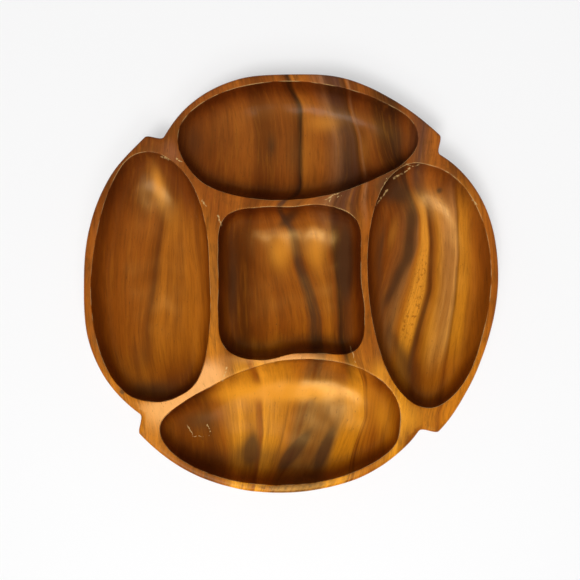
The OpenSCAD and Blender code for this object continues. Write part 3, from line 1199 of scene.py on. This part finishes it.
@dataclass
class CarvedTray:
    """The tray itself: builds its surface, carves it, cuts it into staves and dresses them."""

    base_width: float = 206 * MM
    rim_edge: float = 2.5 * MM
    rim_land: float = 6.5 * MM
    bridge_land: float = 6 * MM
    petal_end_land: float = 15.5 * MM
    petal_lead: float = 5 * MM
    centre_width: float = 106 * MM
    land_spacing: float = 2.6 * MM
    side_rings: int = 26
    edge_rings: int = 5
    bowl_rings: int = 42
    base_rings: int = 8
    sunk_depth: float = 6 * MM
    side_share: float = 0.45

    # How finely and how exactly the surface is worked out.
    tightest_edge: float = 0.75
    bend_passes: int = 8
    section_steps: int = 4000
    first_turn: float = 1e-4
    clear_share: float = 0.45
    batch: int = 2000
    least: float = 1e-6
    cut_gap: float = 1e-7
    beyond: float = 1 * MM

    # The mouths, as shares of an ellipse at even steps round them.
    centre_shares: tuple[float, ...] = (
        0.96, 1.03, 1.25, 1.16, 1.05, 1.13, 1.28, 1.08, 0.99, 1.08, 1.26, 1.13, 0.96, 1.03, 1.27, 1.09,
    )
    petals: tuple[tuple[str, float, tuple[float, ...]], ...] = (
        ("top", 0, (
            0.98, 1.0, 0.97, 0.98, 1.02, 1.04, 1.03, 1.01, 0.98, 0.98, 1.02, 0.99, 0.93, 0.88, 0.86, 0.92,
        )),
        ("left", 90, (
            1.02, 1.03, 0.98, 0.95, 0.98, 1.02, 1.04, 1.03, 1.02, 1.07, 1.15, 1.06, 0.98, 1.0, 1.02, 1.01,
        )),
        ("bottom", 180, (
            1.01, 1.03, 1.02, 1.02, 1.01, 0.99, 0.97, 0.97, 0.95, 1.0, 1.08, 1.12, 1.05, 0.93, 0.86, 0.9,
        )),
        ("right", 270, (
            0.96, 0.93, 0.92, 0.92, 0.98, 1.02, 1.01, 1.0, 1.02, 1.11, 1.17, 1.12, 1.04, 0.99, 0.98, 0.97,
        )),
    )

    # The finishes, and the slot of each stave from left to right.
    woods: tuple[LacqueredWood, ...] = (
        LacqueredWood("rim_stave_wood", 1.0, 3.0), LacqueredWood("inner_stave_wood", 0.99, 3.0),
        LacqueredWood("centre_stave_wood", 0.98, 3.0),
    )
    slots: tuple[str, ...] = (
        "rim_stave_wood", "inner_stave_wood", "centre_stave_wood", "inner_stave_wood", "rim_stave_wood",
    )

    outline: PinwheelOutline = field(default_factory=PinwheelOutline)
    carving: HandCarving = field(default_factory=HandCarving)
    growth: GrowthLines = field(default_factory=GrowthLines)
    # The wood's patches, with painted highlights and painted shade among them.
    figure: FigureAndPaintedLight = field(default_factory=FigureAndPaintedLight)
    low: Vector = field(default_factory=lambda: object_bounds()[0])
    high: Vector = field(default_factory=lambda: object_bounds()[1])

    def hollows(self) -> list[Hollow]:
        """The rounded square in the middle and the four petals round it.

        Returns:
            The five hollows, the one in the middle first.
        """
        outer = self.outline.radius - self.rim_land
        inner = self.centre_width / 2 + self.bridge_land
        ring = (outer + inner) / 2
        half_length = math.sqrt(outer ** 2 - ring ** 2) - self.petal_end_land
        sizes = (half_length, (outer - inner) / 2, (self.petal_lead, ring))
        centre = Hollow("centre", self.centre_shares, self.centre_width / 2, self.centre_width / 2)
        return [centre, *(Hollow(name, shares, *sizes, turn) for name, turn, shares in self.petals)]

    def surface(self) -> bpy.types.Mesh:
        """Sets out the outside, the hollows and the lands.

        Returns:
            The whole closed surface, ready to be carved.
        """
        maker = SurfaceMaker()
        rim = self._outside(maker)
        mouths = [self._bowl(maker, hollow) for hollow in self.hollows()]
        self._land(maker, rim, mouths)
        return maker.mesh("tray_surface")

    def _outside(self, maker: SurfaceMaker) -> np.ndarray:
        """The underside, the curved side and the eased top edge.

        Args:
            maker: the surface so far.

        Returns:
            The numbers of the top ring.
        """
        outline = self.outline.points(self.low, self.high)
        side_height = self.high.z - self.rim_edge
        start = self.base_width / 2 / self.outline.radius
        rings = []
        for turn in np.linspace(0, math.pi / 2, self.side_rings):
            share = start + (1 - start) * math.sin(turn)
            region = Region.SIDE if turn else Region.UNDERSIDE
            rings.append(maker.add(outline * share, side_height * (1 - math.cos(turn)), region))
        give = np.minimum(
            1.0, self.tightest_edge / np.maximum(self._curvature(outline) * self.rim_edge, self.least)
        )
        for turn in np.linspace(0, math.pi / 2, self.edge_rings + 1)[1:]:
            eased = spread(outline, -self.rim_edge * (1 - math.cos(turn)) * give)
            rings.append(maker.add(eased, side_height + self.rim_edge * math.sin(turn), Region.SIDE))
        for one, other in zip(rings, rings[1:]):
            maker.band(one, other)
        under = rings[0]
        for share in np.linspace(1, 0, self.base_rings + 1)[1:-1]:
            ring = maker.add(outline * start * share, 0.0, Region.UNDERSIDE)
            maker.band(ring, under)
            under = ring
        pole = maker.add(np.zeros((1, 2)), 0.0, Region.UNDERSIDE)
        maker.fan(under, int(pole[0]))
        return rings[-1]

    def _curvature(self, outline: np.ndarray) -> np.ndarray:
        """How sharply a closed outline bends, smoothed along it.

        Args:
            outline: the corners of the outline, one row each.

        Returns:
            One over the bending radius at each corner.
        """
        before, after = outline - np.roll(outline, 1, 0), np.roll(outline, -1, 0) - outline
        cross = before[:, 0] * after[:, 1] - before[:, 1] * after[:, 0]
        one, other = np.linalg.norm(before, axis=1), np.linalg.norm(after, axis=1)
        bend = np.abs(cross / (one * other * (one + other) / 2))
        for _ in range(self.bend_passes):
            bend = np.maximum(bend, (np.roll(bend, 1) + bend + np.roll(bend, -1)) / 3)
        return bend

    def _bowl(self, maker: SurfaceMaker, hollow: Hollow) -> np.ndarray:
        """One hollow, down to a pole in its floor.

        Args:
            maker: the surface so far.
            hollow: the hollow to add.

        Returns:
            The numbers of its top ring.
        """
        mouth, centre = hollow.mouth(), hollow.centre()
        LOG.info("%s hollow: mouth %.1f x %.1f mm", hollow.name, *(np.ptp(mouth, axis=0) / MM))
        edge = self.carving.edge
        rings = []
        for turn in np.linspace(math.pi / 2, 0, self.edge_rings + 1)[:-1]:
            rings.append(maker.add(
                spread(mouth, edge * (1 - math.cos(turn))), self.high.z - edge * (1 - math.sin(turn)),
                Region.LAND if not rings else Region.BOWL,
            ))
        drop = self.high.z - edge - self.carving.floor
        tries = np.linspace(0, math.pi / 2, self.section_steps)
        out = np.cos(tries) ** (2 / self.carving.squareness) * hollow.half_width
        down = drop * np.sin(tries)
        run = np.concatenate([[0], np.cumsum(np.hypot(np.diff(out), np.diff(down)))])
        turns = np.interp(np.linspace(0, run[-1], self.bowl_rings + 1), run, tries)[:-1]
        turns[0] = self.first_turn
        for turn in turns:
            rings.append(maker.add(mouth, self.high.z - edge, Region.BOWL, float(turn), centre))
        for one, other in zip(rings, rings[1:]):
            maker.band(one, other)
        pole = maker.add(centre[None, :], self.carving.floor, Region.BOWL, math.pi / 2, centre)
        maker.fan(rings[-1], int(pole[0]))
        return rings[0]

    def _land(self, maker: SurfaceMaker, rim: np.ndarray, mouths: list[np.ndarray]) -> None:
        """The flat lands between the rim and the hollows, as one fine triangle net.

        Args:
            maker: the surface so far.
            rim: numbers of the ring round the tray.
            mouths: numbers of the ring round each hollow.
        """
        places = np.concatenate(maker.places)[:, :2]
        rings = [rim, *mouths]
        borders = [places[ring] for ring in rings]
        steps = [np.arange(low, high, self.land_spacing) for low, high in zip(self.low[:2], self.high[:2])]
        lattice = np.stack(np.meshgrid(*steps, indexing="ij"), -1).reshape(-1, 2)
        lattice[:, 1] += (np.arange(len(lattice)) // len(steps[1]) % 2) * self.land_spacing / 2
        keep = inside(lattice, borders[0])
        for border in borders[1:]:
            keep &= ~inside(lattice, border)
        lattice = lattice[keep]
        near = np.full(len(lattice), 1.0)
        for border in borders:
            for start in range(0, len(lattice), self.batch):
                part = slice(start, start + self.batch)
                gap = np.linalg.norm(lattice[part, None] - border[None], axis=2).min(1)
                near[part] = np.minimum(near[part], gap)
        lattice = lattice[near > self.clear_share * self.land_spacing]
        inner = maker.add(lattice, self.high.z, Region.LAND)
        numbers = np.concatenate([*rings, inner])
        flat = np.concatenate([*borders, lattice]) / MM
        edges, start = [], 0
        for ring in rings:
            span = np.arange(start, start + len(ring))
            edges.extend(zip(span.tolist(), np.roll(span, -1).tolist()))
            start += len(ring)
        net = delaunay_2d_cdt([Vector(place) for place in flat], edges, [], 0, self.least)
        spots, _, faces, origins = net[:4]
        middles = np.array([np.mean([spots[i] for i in face], axis=0) for face in faces]) * MM
        land = inside(middles, borders[0])
        for border in borders[1:]:
            land &= ~inside(middles, border)
        for face, wanted in zip(faces, land):
            if wanted:
                maker.faces.append(tuple(int(numbers[origins[i][0]]) for i in face))

    def seams(self) -> list[float]:
        """The outer and inner borders of the staves, read from the CAD.

        Returns:
            The x of each border, from left to right.
        """
        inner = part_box(Stave.CENTRE.value)
        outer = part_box(Stave.LEFT_INNER.value)
        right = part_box(Stave.RIGHT_INNER.value)
        ends = (self.low.x - self.beyond, self.high.x + self.beyond)
        return [ends[0], outer[0][0], inner[0][0], inner[1][0], right[1][0], ends[1]]

    def stave(self, carved: bpy.types.Mesh, which: Stave, left: float, right: float) -> bpy.types.Object:
        """Cuts one stave out of the carved tray.

        Args:
            carved: the whole carved surface.
            which: the stave to make.
            left: its left seam.
            right: its right seam.

        Returns:
            The stave as a closed object, linked to the scene.
        """
        work = bmesh.new()
        work.from_mesh(carved)
        for place, side in ((left, -1.0), (right, 1.0)):
            if not self.low.x < place < self.high.x:
                continue
            cut = bmesh.ops.bisect_plane(
                work, geom=[*work.verts, *work.edges, *work.faces], dist=self.cut_gap,
                plane_co=(place, 0, 0), plane_no=(side, 0, 0), clear_outer=True,
            )
            border = [part for part in cut["geom_cut"] if isinstance(part, bmesh.types.BMEdge)]
            made = bmesh.ops.contextual_create(work, geom=border)["faces"]
            for edge in border:
                edge.smooth = False
            flat = bmesh.ops.triangulate(work, faces=made, ngon_method="EAR_CLIP")["faces"]
            for face in flat:
                face.smooth = False
        bmesh.ops.recalc_face_normals(work, faces=work.faces)
        if work.calc_volume(signed=True) < 0:
            bmesh.ops.reverse_faces(work, faces=work.faces)
        mesh = bpy.data.meshes.new(f"{which.value}_wood")
        work.to_mesh(mesh)
        work.free()
        made_object = bpy.data.objects.new(f"{which.value}_wood", mesh)
        bpy.context.scene.collection.objects.link(made_object)
        return made_object

    def paint(self, carved: bpy.types.Mesh) -> None:
        """Works out, at each point of the whole tray, what the finish reads.

        Args:
            carved: the whole carved surface. It gets the attributes growth, figure, steepness,
                face_up and sunk in place of those that carried its making.
        """
        count = len(carved.vertices)
        places, upright = np.zeros(count * 3), np.zeros(count * 3)
        carved.vertices.foreach_get("co", places)
        carved.vertices.foreach_get("normal", upright)
        places, upright = places.reshape(-1, 3), upright.reshape(-1, 3)
        region = np.zeros(count, np.float32)
        carved.attributes["region"].data.foreach_get("value", region)
        face_up = region >= Region.BOWL.value
        below = self.high.z - places[:, 2]
        for label, values in (
            ("growth", self.growth.at(places, np.where(face_up, 0.0, below))),
            # figure: the wood's patches together with painted highlights and painted shade.
            ("figure", self.figure.at(places, region == Region.LAND.value) * face_up),
            ("steepness", (1 - np.clip(upright[:, 2], 0, 1)) * np.where(face_up, 1.0, self.side_share)),
            ("face_up", face_up),
            ("sunk", np.clip(below / self.sunk_depth, 0, 1) * face_up),
        ):
            layer = carved.attributes.new(label, "FLOAT", "POINT")
            layer.data.foreach_set("value", values.astype(np.float32))
        for label in ("region", "section_turn", "hollow_middle"):
            carved.attributes.remove(carved.attributes[label])

    def dress(self, stave: bpy.types.Object, which: Stave, finish: bpy.types.Material) -> None:
        """Gives a stave its wood and puts it in the frame.

        Args:
            stave: the stave's object.
            which: which stave it is.
            finish: its material.
        """
        stave.data.materials.clear()
        stave.data.materials.append(finish)
        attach(stave, "root")
        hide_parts(which.value)

    def build(self) -> list[bpy.types.Object]:
        """Makes, cuts and dresses the five staves.

        Returns:
            The staves from left to right.
        """
        finishes = {wood.name: wood.material() for wood in self.woods}
        carved = self.carving.carve(self.surface(), self.high.z, finishes["centre_stave_wood"])
        self.paint(carved)
        seams = self.seams()
        staves = []
        for which, slot, left, right in zip(Stave, self.slots, seams, seams[1:]):
            stave = self.stave(carved, which, left, right)
            self.dress(stave, which, finishes[slot])
            staves.append(stave)
        return staves


@dataclass
class Studio:
    """The pale floor, the soft lights and the camera."""

    floor_half: float = 12.0
    floor_tone: tuple[float, float, float, float] = (0.86, 0.86, 0.86, 1.0)
    floor_glow: float = 0.55
    white: tuple[float, float, float, float] = (1.0, 1.0, 1.0, 1.0)
    camera_place: tuple[float, float, float] = (-0.7 * MM, -4.7 * MM, 688 * MM)
    half_view: float = 18.04
    sensor: float = 36.0
    clip: tuple[float, float] = (0.01, 40.0)
    sun_strength: float = 2.3
    sun_tilt: tuple[float, float] = (23.0, -10.0)
    sun_spread: float = 18.0
    lamp_place: tuple[float, float, float] = (-30 * MM, -300 * MM, 600 * MM)
    lamp_power: float = 1.3
    lamp_side: float = 260 * MM
    sky: tuple[float, float, float, float] = (0.98, 0.98, 1.0, 1.0)
    sky_overhead: Ease = Ease(0.1, 0.8, 0.55, 0.08)
    sky_rim: Ease = Ease(0.13, 0.06, 0.0, 0.93)

    def build(self) -> list[bpy.types.Object]:
        """Sets out the whole studio.

        Returns:
            The floor, the lights and the camera.
        """
        made = [self._floor(), *self._lights()]
        self._world()
        made.append(self._camera())
        bpy.context.scene.view_settings.view_transform = "Standard"
        return made

    def _floor(self) -> bpy.types.Object:
        """A pale floor that shows near white and keeps the tray's shadow.

        Returns:
            The floor.
        """
        work = bmesh.new()
        bmesh.ops.create_grid(work, x_segments=1, y_segments=1, size=self.floor_half)
        mesh = bpy.data.meshes.new("studio_floor")
        work.to_mesh(mesh)
        work.free()
        floor = bpy.data.objects.new("studio_floor", mesh)
        bpy.context.scene.collection.objects.link(floor)
        material = bpy.data.materials.new("pale_floor")
        material.use_nodes = True
        bench = NodeBench(material.node_tree)
        rays = bench.put("ShaderNodeLightPath").outputs
        seen = bench.math(
            "MAXIMUM", rays["Is Camera Ray"],
            bench.math("MAXIMUM", rays["Is Glossy Ray"], rays["Is Transmission Ray"]),
        )
        matte = bench.put("ShaderNodeBsdfDiffuse", {"Color": self.floor_tone})
        white = bench.put("ShaderNodeEmission", {"Color": self.white, "Strength": 1.0})
        share = bench.times(seen, self.floor_glow)
        both = bench.put("ShaderNodeMixShader", {0: share, 1: matte.outputs[0], 2: white.outputs[0]})
        bench.put("ShaderNodeOutputMaterial", {"Surface": both.outputs[0]})
        mesh.materials.append(material)
        floor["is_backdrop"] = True
        return floor

    def _lights(self) -> list[bpy.types.Object]:
        """A broad soft sun from the near side and a large lamp low beyond the near edge.

        Returns:
            The sun and the lamp.
        """
        sun = bpy.data.lights.new("window_light", "SUN")
        sun.energy, sun.angle = self.sun_strength, math.radians(self.sun_spread)
        lit = bpy.data.objects.new("window_light", sun)
        lit.rotation_euler = (math.radians(self.sun_tilt[0]), math.radians(self.sun_tilt[1]), 0)
        lamp = bpy.data.lights.new("near_lamp", "AREA")
        lamp.energy, lamp.shape, lamp.size = self.lamp_power, "SQUARE", self.lamp_side
        near = bpy.data.objects.new("near_lamp", lamp)
        near.location = self.lamp_place
        near.rotation_euler = (-Vector(self.lamp_place)).to_track_quat("-Z", "Y").to_euler()
        for light in (lit, near):
            bpy.context.scene.collection.objects.link(light)
        return [lit, near]

    def _world(self) -> None:
        """A sky that is pale all round and dim overhead, which leaves the hollows their shade."""
        world = bpy.data.worlds.new("studio_sky")
        world.use_nodes = True
        bench = NodeBench(world.node_tree)
        way = bench.put("ShaderNodeTexCoord").outputs["Generated"]
        height = bench.put("ShaderNodeSeparateXYZ", {0: way}).outputs[2]
        overhead, rim = bench.eased(height, self.sky_overhead), bench.eased(height, self.sky_rim)
        strength = bench.math("MAXIMUM", overhead, rim)
        back = bench.put("ShaderNodeBackground", {"Color": self.sky, "Strength": strength})
        bench.put("ShaderNodeOutputWorld", {"Surface": back.outputs[0]})
        bpy.context.scene.world = world

    def _camera(self) -> bpy.types.Object:
        """A camera that looks straight down on the tray.

        Returns:
            The camera.
        """
        data = bpy.data.cameras.new("overhead_camera")
        data.sensor_width = self.sensor
        data.lens = self.sensor / 2 / math.tan(math.radians(self.half_view))
        data.clip_start, data.clip_end = self.clip
        camera = bpy.data.objects.new("overhead_camera", data)
        camera.location = self.camera_place
        bpy.context.scene.collection.objects.link(camera)
        bpy.context.scene.camera = camera
        return camera


def report(piece: bpy.types.Object) -> None:
    """Logs how many faces a piece has, and whether it is closed.

    Args:
        piece: a mesh object of the scene.
    """
    work = bmesh.new()
    work.from_mesh(piece.data)
    loose = sum(not edge.is_manifold for edge in work.edges)
    LOG.info("%s: %d faces, %d open edges", piece.name, len(work.faces), loose)
    work.free()


def main() -> None:
    """Builds the tray and the studio."""
    logging.basicConfig(level=logging.INFO, format="%(name)s: %(message)s")
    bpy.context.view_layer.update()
    for piece in CarvedTray().build():
        report(piece)
    for thing in Studio().build():
        LOG.info("%s: %s of the studio", thing.name, thing.type.lower())
    bpy.context.view_layer.update()


if __name__ == "__main__":
    main()
